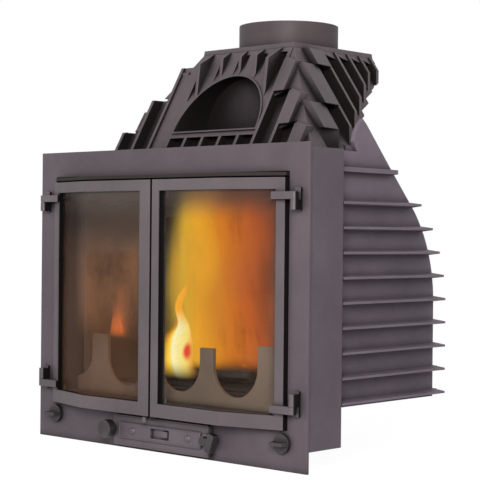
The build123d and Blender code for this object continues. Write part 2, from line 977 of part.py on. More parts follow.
def lower_panel():
    """The raised panel under the doors, hollow behind, with a bay for the lever's boss."""
    skin = 3.0
    front = -panel_reach
    panel = rounded_slab(panel_left, panel_right, panel_bottom, panel_top, front, 0, 3)
    panel -= box(panel_left + 4, panel_right - 20, front + skin, 1,
                 panel_bottom + 4, panel_top - 4)
    panel -= box(window_left, window_right, front - 1, 0, window_bottom, window_top)
    panel -= rod_y(lever_x, lever_z, boss_radius + 1, front - 1, 1)
    panel -= rod_y(pull_x, pull_z, spindle_radius + 1, front - 1, 1)
    for x in screw_places:
        panel -= rod_y(x, screw_z, screw_radius, front - 1, front + skin + 1)
    return panel


def control_plate():
    """The flat rounded plate on the panel, with the window of the air slide."""
    back = -panel_reach
    front = back - control_plate_thickness
    plate = rounded_slab(-105, 111.5, 19, 49.5, front, back, 4)
    plate -= rounded_slab(window_left, window_right, window_bottom, window_top,
                          front - 1, back + 1, 1.5)
    plate -= rod_y(lever_x, lever_z, boss_radius + 4.5, front - 1, back + 1)
    for x in screw_places:
        plate -= rod_y(x, screw_z, screw_radius, front - 1, back + 1)
    return plate


def control_screws():
    """The two round-headed screws of the control plate."""
    face = -panel_reach - control_plate_thickness
    round_radius = 9.0
    sunk = 5.0
    screws = []
    for x in screw_places:
        head = Pos(x, face + sunk, screw_z) * Sphere(round_radius)
        head &= box(x - 10, x + 10, face - round_radius, face, screw_z - 10, screw_z + 10)
        shank = rod_y(x, screw_z, screw_radius, face, -panel_reach + 2.5)
        screws.append(head + shank)
    return screws


def air_slide():
    """The sliding shutter behind the window, with its finger tab."""
    front = -panel_reach + 3.5
    shutter = box(-20, 74, front, front + 2.5, 14, 54)
    for x in (40, 58):
        shutter -= box(x - 7, x + 7, front - 1, front + 3, window_bottom + 2, window_top - 2)
    tab = rounded_slab(11, 27, 31, 42, -panel_reach - 5, front, 2)
    return shutter + tab


def air_knob():
    """The right turning knob: a disc with a grip across it."""
    back = -1.0
    face = -8.0
    knob = rod_y(knob_x, knob_z, knob_radius, face, back)
    grip = [
        (knob_x - 17.5, face + 1),
        (knob_x - 14, face - 15),
        (knob_x + 14, face - 15),
        (knob_x + 17.5, face + 1),
    ]
    bar = extrude(Plane.XY.offset(knob_z - 3) * make_face(Polyline(*grip, close=True)), 6)
    knob += bar & rod_y(knob_x, knob_z, 17.5, face - 20, back)
    knob -= rod_y(knob_x, knob_z, spindle_radius, face + 2, back + 1)
    return knob


valve_front = plate_thickness + joint_gap
valve_thickness = 3.0
control_depth = ash_front - valve_thickness - joint_gap


def air_spindle():
    """The right spindle, which joins the knob to its valve disc."""
    return rod_y(knob_x, knob_z, spindle_radius, -6, valve_front + valve_thickness)


def air_disc():
    """The right valve disc, whose holes meet the plate's holes when the knob is turned."""
    back = valve_front + valve_thickness
    disc = rod_y(knob_x, knob_z, valve_radius, valve_front, back)
    disc -= rod_y(knob_x, knob_z, spindle_radius, valve_front - 1, back + 1)
    for hole in valve_holes(knob_x, 30, valve_front - 1, back + 1):
        disc -= hole
    return disc


def pull_rod():
    """The rod that the round pull knob moves, with the tongue that carries the shaker plate."""
    end = shaker_front + 5
    rod = rod_y(pull_x, pull_z, spindle_radius, -22, end)
    half = spindle_radius
    return rod + box(pull_x - half, pull_x + half, end - 6, end, pull_z, shaker_bottom)


shaker_front = 135.0
shaker_back = 265.0
shaker_half_width = 126.0
shaker_bottom = 86.0
shaker_top = 91.0


def shaker_plate():
    """The slotted plate under the grate that the pull rod moves, to shake the ash down."""
    plate = box(-shaker_half_width, shaker_half_width, shaker_front, shaker_back,
                shaker_bottom, shaker_top)
    for number in range(-5, 6):
        x = number * grate_slot_pitch
        plate -= box(x - grate_slot_half, x + grate_slot_half, shaker_front + 8,
                     shaker_back - 8, shaker_bottom - 1, shaker_top + 1)
    return plate


def pull_knob():
    """The round pull knob with its dished face."""
    front = -36.0
    back = -20.0
    knob = rod_y(pull_x, pull_z, knob_radius, front, back)
    knob -= Pos(pull_x, front - 34, pull_z) * Sphere(38)
    knob += rod_y(pull_x, pull_z, 9, back, -14)
    knob -= rod_y(pull_x, pull_z, spindle_radius, -22, -10)
    return knob


def lever_boss():
    """The fixed round boss that the control lever turns in."""
    boss = rod_y(lever_x, lever_z, boss_radius, -14, 0)
    boss -= rod_y(lever_x, lever_z, spindle_radius + running_clearance, -15, 1)
    return boss


def control_lever():
    """The slanted bar of the control lever on its spindle."""
    back = -15.0
    front = -24.0
    bar = Pos(lever_x + 24, front, lever_z - 1) * Rot(0, 19, 0) * Box(13, 14, 34)
    lever = rod_y(lever_x, lever_z, 8, front, back)
    lever += box(lever_x, lever_x + 22, front, back, lever_z - 6, lever_z + 6)
    lever += bar
    return lever + rod_y(lever_x, lever_z, spindle_radius, back - 1, control_depth)


primary_x = 94.0
primary_hole_radius = 14.0
flap_radius = 18.0


def primary_flap():
    """The flap on the lever's spindle that covers the air hole in the ash box."""
    back = control_depth + valve_thickness
    flap = rod_y(primary_x, lever_z, flap_radius, control_depth - 1, back)
    flap += box(primary_x, lever_x, control_depth - 1, back, lever_z - 7, lever_z + 7)
    flap += rod_y(lever_x, lever_z, 8, control_depth - 1, back)
    flap -= rod_y(lever_x, lever_z, spindle_radius, 0, control_depth)
    return flap


def latch_roller():
    """The upright roller under the left door's free corner."""
    pin = rod_z(-16, -30, 2.5, 60, door_bottom)
    roller = rod_z(-16, -30, 4.5, 58, 68)
    return pin + roller


def door_stop():
    """The small stop behind the latch roller."""
    return box(-24, -8, -24, -2, panel_top, panel_top + 5)


# Ash box, ash pan and inner parts

def ash_box():
    """The sheet steel box under the body that catches the ash and carries the weight."""
    inner_half = ash_half_width - sheet
    shell = box(-ash_half_width, ash_half_width, ash_front, ash_back, 0, body_bottom)
    shell -= box(-inner_half, inner_half, ash_front + sheet, ash_back - sheet,
                 sheet, body_bottom - sheet)
    shell -= box(-grate_half_width, grate_half_width, grate_front, grate_back,
                 body_bottom - 20, body_bottom + 1)
    rail = shaker_bottom - joint_gap
    for side in (-1, 1):
        low, high = sorted((side * (shaker_half_width - 5), side * (inner_half + 1)))
        shell += box(low, high, 100, ash_back - sheet, rail - 3, rail)
    past_wall = ash_front + sheet + 1
    shell -= rod_y(pull_x, pull_z, 12, 0, past_wall)
    shell -= box(pull_x - 6, pull_x + 6, 95, shaker_front + 12, shaker_bottom - 8, shaker_bottom)
    shell -= rod_y(primary_x, lever_z, primary_hole_radius, 0, past_wall)
    return shell


def ash_pan():
    """The loose ash pan in the ash box."""
    half = 105.0
    wall = 2.0
    pan = box(-half, half, 105, 280, sheet, 60)
    pan -= box(-half + wall, half - wall, 105 + wall, 280 - wall, sheet + wall, 61)
    return pan


lining_bottom = body_bottom + floor_thickness
lining_top = 440.0
lining_front = 66.0
lining_thickness = 25.0


def side_lining():
    """The right firebrick slab, cut to the curve of the back wall, with a tongue in the throat."""
    outer = wall_half_width - wall_thickness - 1
    inner = outer - lining_thickness
    shoulder = body_front + 12
    face = Plane.YZ.offset(inner) * back_face(wall_thickness + 2, body_front, casting_joint)
    slab = extrude(face, lining_thickness) & box(inner, outer, shoulder, 375,
                                                 lining_bottom, lining_top)
    tongue_outer = throat_half_width - sheet - 1
    return slab + box(inner, tongue_outer, lining_front, shoulder, lining_bottom, lining_top)


def back_lining():
    """The firebrick slab in front of the back wall."""
    back = body_back - wall_thickness - 2
    half = wall_half_width - wall_thickness - 1
    return box(-half, half, back - lining_thickness, back, lining_bottom, back_bend_start)


def baffle():
    """The slab over the fire that sends the smoke to the front before it rises."""
    half = wall_half_width - wall_thickness - 2
    return box(-half, half, 150, 330, lining_top, lining_top + 18)


def log_guard():
    """The cast guard in front of the logs, with round bays between its upright posts."""
    back = guard_front + guard_thickness
    inner_top, outer_top = guard_post_tops
    guard = box(-guard_half_width, guard_half_width, guard_front, back, throat_floor, inner_top)
    for side in (-1, 1):
        low, high = sorted((side * 2 * guard_bay_radius, side * guard_half_width))
        guard += box(low, high, guard_front, back, inner_top - 1, outer_top)
    for number in range(-2, 3):
        x = number * guard_bay_pitch
        at_end = abs(number) == 2
        radius = guard_end_radius if at_end else guard_bay_radius
        axis = radius + (guard_end_bottom if at_end else guard_bay_bottom)
        guard -= rod_y(x, axis, radius, guard_front - 1, back + 1)
        guard -= box(x - radius, x + radius, guard_front - 1, back + 1, axis, outer_top + 1)
    foot = ash_half_width - 2
    guard += box(-foot, foot, guard_front, back + 30, body_bottom, body_bottom + 6)
    return guard


def write_all():
    """Write every piece."""
    os.makedirs("parts", exist_ok=True)
    save("front_plate", front_plate())
    save("casing_side_right", casing_side())
    save("casing_side_left", left_copy(casing_side()))
    save("casing_floor_right", casing_floor())
    save("casing_floor_left", left_copy(casing_floor()))
    save("casing_roof", casing_roof())
    save("body_flange", body_flange())
    save("side_wall_right", side_wall())
    save("side_wall_left", left_copy(side_wall()))
    save("back_wall", back_wall())
    save("base_plate", base_plate())
    save("fire_grate", fire_grate())
    save("top_casting", top_casting())
    save("smoke_dome", smoke_dome())
    save("dome_lid", dome_lid())
    save("flue_collar", flue_collar())
    save("collar_bolts", *collar_bolts())
    save("door_frame", door_frame())
    save("throat", throat())
    right = (right_x0, door_end, centre_stile_right, end_stile)
    left = (-door_end, left_x1, end_stile, centre_stile_left)
    save("right_door_frame", door_panel(*right))
    save("left_door_frame", door_panel(*left))
    save("right_door_glass", door_glass(*right))
    save("left_door_glass", door_glass(*left))
    save("right_door_seal", door_seal(right_x0, door_end))
    save("left_door_seal", door_seal(-door_end, left_x1))
    save("right_glass_clips", *glass_clips(*right))
    save("left_glass_clips", *glass_clips(*left))
    save("right_hinge_blocks", *hinge_blocks())
    save("left_hinge_blocks", *[left_copy(block) for block in hinge_blocks()])
    save("right_hinge_pins", *hinge_pins())
    save("left_hinge_pins", *[left_copy(pin) for pin in hinge_pins()])
    save("right_hinge_arms", *hinge_arms())
    save("left_hinge_arms", *[left_copy(arm) for arm in hinge_arms()])
    save("latch_roller", latch_roller())
    save("door_stop", door_stop())
    save("lower_panel", lower_panel())
    save("control_plate", control_plate())
    save("control_screws", *control_screws())
    save("air_slide", air_slide())
    for side, turned in (("right", lambda shape: shape), ("left", left_copy)):
        save(f"{side}_air_knob", turned(air_knob()))
        save(f"{side}_air_spindle", turned(air_spindle()))
        save(f"{side}_air_disc", turned(air_disc()))
        save(f"{side}_lining", turned(side_lining()))
    save("pull_rod", pull_rod())
    save("pull_knob", pull_knob())
    save("lever_boss", lever_boss())
    save("control_lever", control_lever())
    save("primary_flap", primary_flap())
    save("shaker_plate", shaker_plate())
    save("ash_box", ash_box())
    save("ash_pan", ash_pan())
    save("back_lining", back_lining())
    save("baffle", baffle())
    save("log_guard", log_guard())


write_all()
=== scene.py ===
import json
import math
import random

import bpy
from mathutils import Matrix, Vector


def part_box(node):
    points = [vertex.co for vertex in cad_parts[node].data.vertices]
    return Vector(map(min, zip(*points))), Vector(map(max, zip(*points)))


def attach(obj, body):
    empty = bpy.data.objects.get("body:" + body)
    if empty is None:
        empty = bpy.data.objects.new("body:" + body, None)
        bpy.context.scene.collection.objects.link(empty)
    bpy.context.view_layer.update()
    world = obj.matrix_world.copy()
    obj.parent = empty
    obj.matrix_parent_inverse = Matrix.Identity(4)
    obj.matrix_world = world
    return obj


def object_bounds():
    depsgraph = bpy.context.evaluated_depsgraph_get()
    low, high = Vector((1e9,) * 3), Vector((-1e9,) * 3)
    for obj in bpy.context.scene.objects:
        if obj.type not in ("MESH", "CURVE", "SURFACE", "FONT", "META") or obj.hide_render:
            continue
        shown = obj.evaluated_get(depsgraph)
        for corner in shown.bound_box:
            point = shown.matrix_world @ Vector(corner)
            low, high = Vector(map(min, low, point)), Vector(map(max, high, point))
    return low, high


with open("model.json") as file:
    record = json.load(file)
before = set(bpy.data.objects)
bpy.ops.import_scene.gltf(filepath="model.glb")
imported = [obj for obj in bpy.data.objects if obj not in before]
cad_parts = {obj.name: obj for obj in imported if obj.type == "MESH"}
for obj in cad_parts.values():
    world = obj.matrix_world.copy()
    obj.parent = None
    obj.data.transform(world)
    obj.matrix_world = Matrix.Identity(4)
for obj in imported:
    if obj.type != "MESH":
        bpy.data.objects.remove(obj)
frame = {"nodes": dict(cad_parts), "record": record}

# %% [markdown]
# A fireplace insert is a cast iron fire chamber that is set into a built fireplace. It has two
# bowed glass doors, controls for the air below them, and a smoke dome on top with a round collar
# for the flue pipe. The imported model is the fixed skeleton: every cast plate, door and knob is
# already at its real place, in metres. This script gives each of them a finish and adds the small
# forms that a casting has but a plain solid hasn't. The box of the bare model is kept and printed,
# and the floor is laid at its foot.

bare_box = [[float(value) for value in corner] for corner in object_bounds()]
nodes = frame["nodes"]
print("bare box", bare_box)

# %% [markdown]
# The drawing of the insert counts in millimetres, from the plate's front face and the floor. The
# scene counts in metres, from a point 150 mm behind that face. Points could be written in metres
# at once, but sizes are easier to picture in millimetres, so one small function converts them.

# %% From the drawing to the scene
depth_of_origin = 0.150


def place(x, y, z):
    """A point in metres from millimetres right of the middle, behind the plate and above the floor."""
    return Vector((x / 1000, y / 1000 - depth_of_origin, z / 1000))


print("floor under the plate's front face", tuple(place(0, 0, 0)))

# %% [markdown]
# The finishes are built from nodes. Pictures could be wrapped round the castings, but they blur up
# close and show seams, and noise that is worked out at every point does neither. Each finish
# starts as a Principled shader. Noise over the object's own coordinates makes clouds, grain or
# rings, and a ramp turns its values into tones.

# %% Noise and tones
def new_material(name):
    """An empty material and its node tree with a Principled shader."""
    material = bpy.data.materials.new(name)
    material.use_nodes = True
    tree = material.node_tree
    shader = tree.nodes["Principled BSDF"]
    return material, tree, shader


def noise(tree, scale, detail=4.0, rough=0.55, stretch=(1, 1, 1)):
    """Noise over the object's own coordinates, in metres."""
    spot = tree.nodes.new("ShaderNodeTexCoord")
    mapping = tree.nodes.new("ShaderNodeMapping")
    mapping.inputs["Scale"].default_value = stretch
    tree.links.new(spot.outputs["Object"], mapping.inputs["Vector"])
    texture = tree.nodes.new("ShaderNodeTexNoise")
    texture.inputs["Scale"].default_value = scale
    texture.inputs["Detail"].default_value = detail
    texture.inputs["Roughness"].default_value = rough
    tree.links.new(mapping.outputs["Vector"], texture.inputs["Vector"])
    return texture.outputs["Fac"]


def ramp(tree, source, stops):
    """Colours along a value, from stops of a position and a colour."""
    node = tree.nodes.new("ShaderNodeValToRGB")
    elements = node.color_ramp.elements
    while len(elements) < len(stops):
        elements.new(0.5)
    for element, (position, colour) in zip(elements, stops):
        element.position = position
        element.color = (*colour, 1)
    tree.links.new(source, node.inputs["Fac"])
    return node.outputs["Color"]


print("noise and tones ready")

# %% [markdown]
# A finish is made of layers, as on the real casting: grain over a tone, rubbed edges over the
# grain, and soot over it all. Each layer is blended in by an amount from zero to one. The amounts
# come from plain arithmetic and from a soft step, which begins and ends without a hard line.

# %% Layers and amounts
def feed(tree, socket, value):
    """Wires a value into a socket, or sets it there if it is a plain number or a colour."""
    if isinstance(value, bpy.types.NodeSocket):
        tree.links.new(value, socket)
    elif isinstance(value, tuple):
        socket.default_value = (*value, 1)
    else:
        socket.default_value = value


def blend(tree, amount, first, second):
    """Mixes two colours by an amount. The mix node keeps its colours at sockets 6 and 7."""
    node = tree.nodes.new("ShaderNodeMix")
    node.data_type = "RGBA"
    for number, value in ((0, amount), (6, first), (7, second)):
        feed(tree, node.inputs[number], value)
    return node.outputs[2]


def math_node(tree, operation, first, second, clamp=False):
    """One step of arithmetic on sockets or numbers."""
    node = tree.nodes.new("ShaderNodeMath")
    node.operation = operation
    node.use_clamp = clamp
    feed(tree, node.inputs[0], first)
    feed(tree, node.inputs[1], second)
    return node.outputs[0]


def times(tree, first, second, clamp=False):
    """The product of two values."""
    return math_node(tree, "MULTIPLY", first, second, clamp)


def plus(tree, first, second, clamp=False):
    """The sum of two values."""
    return math_node(tree, "ADD", first, second, clamp)


def minus(tree, first, second):
    """The first value less the second."""
    return math_node(tree, "SUBTRACT", first, second)


def larger(tree, first, second):
    """The larger of two values."""
    return math_node(tree, "MAXIMUM", first, second)


def unsigned(tree, value):
    """A value without its sign."""
    return math_node(tree, "ABSOLUTE", value, 0)


def smooth_step(tree, value, low, high):
    """Changes softly from zero at low to one at high, which may also be the smaller of the two."""
    step = tree.nodes.new("ShaderNodeMapRange")
    step.interpolation_type = "SMOOTHSTEP"
    step.inputs["From Min"].default_value = low
    step.inputs["From Max"].default_value = high
    tree.links.new(value, step.inputs["Value"])
    return step.outputs["Result"]


print("layers and amounts ready")

# %% [markdown]
# Iron shows its age by its shape. Paint rubs off where an edge stands out, and the hollows get a
# painted shade, near black, as if little light reached into them. The Bevel node gives the normal
# that a rounded edge would have, so its difference from the true normal marks the edges. Ambient
# Occlusion asks how much open air a point has round it, which marks the hollows. Both read the
# mesh itself, so nothing is painted by hand, and every casting gets its own wear and shade.

# %% Edges, hollows and bumps
def rounded_normal(tree, radius):
    """The normal that a surface has when its edges are rounded by a radius."""
    bevel = tree.nodes.new("ShaderNodeBevel")
    bevel.samples = 4
    bevel.inputs["Radius"].default_value = radius
    return bevel.outputs["Normal"]


def edge_mask(tree, radius):
    """Bright where a surface turns sharply within a radius, dark on flats."""
    contrast = 6.0
    shape = tree.nodes.new("ShaderNodeNewGeometry")
    likeness = tree.nodes.new("ShaderNodeVectorMath")
    likeness.operation = "DOT_PRODUCT"
    tree.links.new(rounded_normal(tree, radius), likeness.inputs[0])
    tree.links.new(shape.outputs["Normal"], likeness.inputs[1])
    turned = minus(tree, 1.0, likeness.outputs["Value"])
    return times(tree, turned, contrast, clamp=True)


def hollow_mask(tree, reach, gain):
    """Bright deep in hollows that are narrower than a reach, dark on open faces."""
    open_enough = 0.86
    shelter = tree.nodes.new("ShaderNodeAmbientOcclusion")
    shelter.samples = 6
    shelter.inputs["Distance"].default_value = reach
    closed = minus(tree, open_enough, shelter.outputs["AO"])
    return times(tree, closed, gain, clamp=True)


def facing(tree, axis):
    """How far a surface faces along an axis, from minus one to one."""
    shape = tree.nodes.new("ShaderNodeNewGeometry")
    split = tree.nodes.new("ShaderNodeSeparateXYZ")
    tree.links.new(shape.outputs["Normal"], split.inputs["Vector"])
    return split.outputs[axis]


def bumps(tree, shader, layers, edge=0.0):
    """Stacks bump layers of (height, strength, distance) over a rounded or plain normal."""
    last = rounded_normal(tree, edge) if edge else None
    for height, strength, distance in layers:
        bump = tree.nodes.new("ShaderNodeBump")
        bump.inputs["Strength"].default_value = strength
        bump.inputs["Distance"].default_value = distance
        tree.links.new(height, bump.inputs["Height"])
        if last:
            tree.links.new(last, bump.inputs["Normal"])
        last = bump.outputs["Normal"]
    tree.links.new(last, shader.inputs["Normal"])


print("edges, hollows and bumps ready")

# %% [markdown]
# Cast iron comes out of a sand mould, so its skin has a fine grain and a slow waviness, and the
# stove paint on it is matt. A shader could be wired up for each casting, but they differ only in
# tone, grain, gloss, soot and painted shade, so one function builds them all. Soot and painted
# shade are dull, so the gloss goes down where they are.

# %% How iron is made
# The black of the painted shade in hollows and on side faces, and of the soot on inner faces.
shade_and_soot_black = (0.009, 0.007, 0.007)
rubbed_width = 0.0022
gloss_lost_to_shade_and_soot = 0.85


def shade(tone, share):
    """A tone made darker or paler, and never past white."""
    return tuple(min(1, value * share) for value in tone)


def shade_and_soot_parts(tree, hollow_shade, reach, gain, black_faces):
    """Painted shade in hollows and on sideways faces, and soot on faces towards the room."""
    # Hollows narrower than the reach get a painted shade.
    shade_and_soot = times(tree, hollow_mask(tree, reach, gain), hollow_shade)
    # Faces that look sideways get a painted shade; on the doors these are the frames' side faces.
    if black_faces == "sideways":
        shade_and_soot = larger(tree, shade_and_soot, smooth_step(tree, unsigned(tree, facing(tree, "X")), 0.75, 0.95))
    # Faces that look towards the room are black with soot; on the back wall that is its inner face.
    if black_faces == "frontwards":
        shade_and_soot = larger(tree, shade_and_soot, smooth_step(tree, facing(tree, "Y"), -0.1, -0.3))
    return shade_and_soot


def iron(name, tone, grain=0.35, roughness=(0.55, 0.75), edge=0.0012, wear=0.35, hollow_shade=0.7,
         reach=0.05, gloss_level=0.4, gain=2.2, black_faces=None):
    """Painted or bare cast iron of one tone, with rubbed edges and painted shade in its hollows."""
    material, tree, shader = new_material(name)
    shader.inputs["Metallic"].default_value = 0.15
    dark = shade(tone, 0.78)
    pale = shade(tone, 1.22)
    worn = shade(tone, 1.9)
    speckle = noise(tree, 650.0, 2.0, 0.7)
    clouds = ramp(tree, noise(tree, 9.0, 6.0), [(0.3, dark), (0.7, pale)])
    base = blend(tree, 0.25, clouds, ramp(tree, speckle, [(0.35, dark), (0.65, pale)]))
    base = blend(tree, times(tree, edge_mask(tree, rubbed_width), wear), base, worn)
    # Painted shade and soot darken the base colour and dull its gloss.
    shade_and_soot = shade_and_soot_parts(tree, hollow_shade, reach, gain, black_faces)
    tree.links.new(blend(tree, shade_and_soot, base, shade_and_soot_black), shader.inputs["Base Color"])
    shine = minus(tree, gloss_level, times(tree, shade_and_soot, gloss_level * gloss_lost_to_shade_and_soot))
    tree.links.new(shine, shader.inputs["Specular IOR Level"])
    low, high = roughness
    gloss = tree.nodes.new("ShaderNodeMapRange")
    gloss.inputs["To Min"].default_value = low
    gloss.inputs["To Max"].default_value = high
    tree.links.new(noise(tree, 60.0, 4.0), gloss.inputs["Value"])
    tree.links.new(gloss.outputs["Result"], shader.inputs["Roughness"])
    waves = noise(tree, 35.0, 3.0)
    bumps(tree, shader, [(waves, 0.15, 0.001), (speckle, grain, 0.0004)], edge)
    return material


print("iron can be made")

# %% [markdown]
# The insert's irons, piece by piece. The plate and the casing are smooth, and the finned body is
# coarser and paler. The back wall is the body's iron outside, but its front is in the fire and
# black with soot. The dome's ribs stand close together, and what lies between them gets a deep,
# near black painted shade. The collar is smoother and dull. The doors are finer castings, whose
# side faces get a near black painted shade. The knobs are rubbed pale at their edges, the log
# guard is scaled brown by the heat, and whatever lies round the fire is nearly black. The tones
# could be mixed from black and white alone, but iron under old stove paint is a warm grey, so red
# and blue are kept a little above green.

# %% The irons of the insert
plate_iron = iron("plate_iron", (0.082, 0.064, 0.074), reach=0.02)
casing_iron = iron("casing_steel", (0.080, 0.062, 0.075), grain=0.2, reach=0.02)
body_tone = (0.132, 0.103, 0.129)
body_iron = iron("body_iron", body_tone, grain=0.45, reach=0.03)
back_iron = iron("back_wall_iron", body_tone, grain=0.45, reach=0.03, black_faces="frontwards")
# The dome's hollows get a deep painted shade, near black, reaching far between the ribs.
dome_iron = iron("dome_iron", (0.094, 0.074, 0.080), grain=0.5, edge=0.003, hollow_shade=0.98, reach=0.17,
                 gain=3.0)
collar_iron = iron("collar_iron", (0.074, 0.058, 0.062), grain=0.2, roughness=(0.46, 0.58),
                   reach=0.03, gloss_level=0.12)
# The doors' side faces get a painted shade, near black, as if in the frame's shadow.
door_iron = iron("door_iron", (0.086, 0.069, 0.076), grain=0.25, roughness=(0.42, 0.6), reach=0.01,
                 black_faces="sideways")
control_iron = iron("control_iron", (0.100, 0.080, 0.090), grain=0.3, roughness=(0.4, 0.6),
                    reach=0.008)
knob_iron = iron("knob_iron", (0.038, 0.031, 0.034), grain=0.3, roughness=(0.35, 0.5), wear=0.9)
guard_iron = iron("guard_iron", (0.155, 0.108, 0.078), grain=0.4, reach=0.02)
soot_iron = iron("sooty_iron", (0.022, 0.016, 0.014), grain=0.3, roughness=(0.8, 0.95))
print("iron finishes made")

# %% [markdown]
# Pins, rods and bolts are drawn or turned steel. Turned steel has fine rings round its axis and a
# darker, oiled colour. The rings could be real grooves, but they are finer than a hair, so a
# stretched noise in the colour and in the bump is enough.

# %% Steel finish
steel, tree, shader = new_material("turned_steel")
shader.inputs["Metallic"].default_value = 0.9
rings = noise(tree, 500.0, 2.0, stretch=(0.15, 0.15, 1))
steel_tones = [(0.3, (0.16, 0.15, 0.15)), (0.7, (0.30, 0.29, 0.28))]
tree.links.new(ramp(tree, rings, steel_tones), shader.inputs["Base Color"])
shader.inputs["Roughness"].default_value = 0.38
bumps(tree, shader, [(rings, 0.15, 0.0003)], 0.0006)
print("steel finish made")

# %% [markdown]
# A pane of the doors soots up first at its rim, where the frame keeps it cool, and a narrow band of
# painted shade, for the frame's jamb in shadow, lies on its sides and foot. Both could be sheets
# of their own, laid on the glass, but they have no thickness to speak of. So the pane's own measure,
# from zero at one side to one at the other, tells the material where its rim and its shade are.

# %% Where things are on a pane
thick_film = 0.38
thin_film = 0.60
rim_brown = (0.050, 0.036, 0.030)
shade_border_black = (0.008, 0.007, 0.007)


def spot_on_pane(tree):
    """How far across and how far up its pane a point is, each from zero to one."""
    spot = tree.nodes.new("ShaderNodeTexCoord")
    split = tree.nodes.new("ShaderNodeSeparateXYZ")
    tree.links.new(spot.outputs["Generated"], split.inputs["Vector"])
    return split.outputs["X"], split.outputs["Z"]


def pane_rim(tree, across, up):
    """One at a pane's sides and top, and zero further in."""
    from_middle = unsigned(tree, minus(tree, across, 0.5))
    return larger(tree, smooth_step(tree, from_middle, 0.40, 0.5), smooth_step(tree, up, 0.84, 1.0))


def painted_shade_border(tree, across, up):
    """One on the painted shade at a pane's left side, right side and foot."""
    left = smooth_step(tree, across, 0.056, 0.046)
    right = smooth_step(tree, across, 0.978, 0.988)
    foot = smooth_step(tree, up, 0.022, 0.014)
    return larger(tree, larger(tree, left, right), foot)


print("rim and border ready")

# %% [markdown]
# The pane is clear ceramic glass with a brown film of smoke, and the left pane has much more of it
# than the right one. The film could be a second sheet behind the glass, but one surface that is
# mostly see-through does the same: the fire shows through it, and the pane still catches a little
# of the room's light. Soft clouds and fine specks of noise make the film. It is darker towards the
# top, and the left pane has a brown haze on its upper part, towards the middle of the insert.

# %% Glass finish
def sooty_glass(name, least, most, dark, pale, edge_film, haze=0.0):
    """Clear glass under a film that hides from least to most of what lies behind it."""
    material, tree, shader = new_material(name)
    shader.inputs["Roughness"].default_value = 0.05
    shader.inputs["Specular IOR Level"].default_value = 0.10
    clouds = times(tree, noise(tree, 8.0, 3.0, stretch=(1, 1, 0.7)), 0.7)
    specks = times(tree, noise(tree, 190.0, 3.0, 0.7), 0.3)
    film = plus(tree, clouds, specks)
    across, up = spot_on_pane(tree)
    rim = pane_rim(tree, across, up)
    # The painted shade of the jamb in shadow is opaque black at the pane's sides and foot.
    border = painted_shade_border(tree, across, up)
    tint = ramp(tree, film, [(thick_film, dark), (thin_film, pale)])
    tint = blend(tree, smooth_step(tree, up, 0.62, 0.86), tint, dark)
    tint = blend(tree, rim, tint, rim_brown)
    tree.links.new(blend(tree, border, tint, shade_border_black), shader.inputs["Base Color"])
    cover = tree.nodes.new("ShaderNodeMapRange")
    cover.inputs["From Min"].default_value = thick_film
    cover.inputs["From Max"].default_value = thin_film
    cover.inputs["To Min"].default_value = most
    cover.inputs["To Max"].default_value = least
    tree.links.new(film, cover.inputs["Value"])
    cloudy = times(tree, smooth_step(tree, up, 0.26, 0.5), smooth_step(tree, across, 0.20, 0.42))
    total = plus(tree, cover.outputs["Result"], times(tree, rim, edge_film))
    total = plus(tree, total, times(tree, cloudy, haze), clamp=True)
    tree.links.new(larger(tree, total, border), shader.inputs["Alpha"])
    return material


right_glass = sooty_glass("right_pane_glass", 0.02, 0.11, (0.08, 0.05, 0.04), (0.16, 0.12, 0.09), 0.5)
left_glass = sooty_glass("left_pane_glass", 0.10, 0.32, (0.046, 0.024, 0.014), (0.21, 0.095, 0.045),
                         0.35, haze=0.5)
print("glass finishes made")

# %% [markdown]
# The door seal is a braided rope, the body's joints get a pale bead as a painted highlight, and
# the linings are pressed firebrick, scorched by the fire. All three are rough and soft to look at.
# Their grain could be modelled, but it is a fraction of a millimetre deep, so strong bumps over a
# surface without gloss show it well.

# %% Rope, joint highlight and brick finishes
rope, tree, shader = new_material("seal_rope")
braid = noise(tree, 420.0, 3.0)
rope_tones = [(0.3, (0.03, 0.03, 0.03)), (0.7, (0.13, 0.12, 0.11))]
tree.links.new(ramp(tree, braid, rope_tones), shader.inputs["Base Color"])
shader.inputs["Roughness"].default_value = 0.95
bumps(tree, shader, [(braid, 0.8, 0.001)])

# A pale finish for the bead that paints the bright line along the joints.
joint_highlight_paint, tree, shader = new_material("joint_highlight_bead")
joint_grain = noise(tree, 160.0, 4.0)
joint_highlight_tones = [(0.35, (0.30, 0.26, 0.27)), (0.65, (0.62, 0.58, 0.58))]
tree.links.new(ramp(tree, joint_grain, joint_highlight_tones), shader.inputs["Base Color"])
shader.inputs["Roughness"].default_value = 0.85
bumps(tree, shader, [(joint_grain, 0.4, 0.0006)])

brick, tree, shader = new_material("firebrick")
grit = noise(tree, 220.0, 5.0)
scorched = (0.03, 0.02, 0.015)
scorch = ramp(tree, noise(tree, 6.0, 4.0), [(0.3, scorched), (0.7, (0.10, 0.06, 0.04))])
grains = ramp(tree, grit, [(0.3, scorched), (0.7, (0.14, 0.09, 0.06))])
tree.links.new(blend(tree, 0.4, scorch, grains), shader.inputs["Base Color"])
shader.inputs["Roughness"].default_value = 0.92
bumps(tree, shader, [(grit, 0.5, 0.0015)], 0.001)
print("rope, cement and brick finishes made")

# %% [markdown]
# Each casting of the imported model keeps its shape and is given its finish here. Every piece could
# be listed with its own, but the record sorts the pieces into slots, such as doors or controls, and
# a slot's finish serves most of them. Only the pieces that differ from the rest of their slot are
# named: the left pane, the log guard, the collar and the back wall; the screws and the latch
# roller, which are painted with the controls; the knobs and the lever, which are bare black iron
# rubbed by hands; and what the fire has blackened.

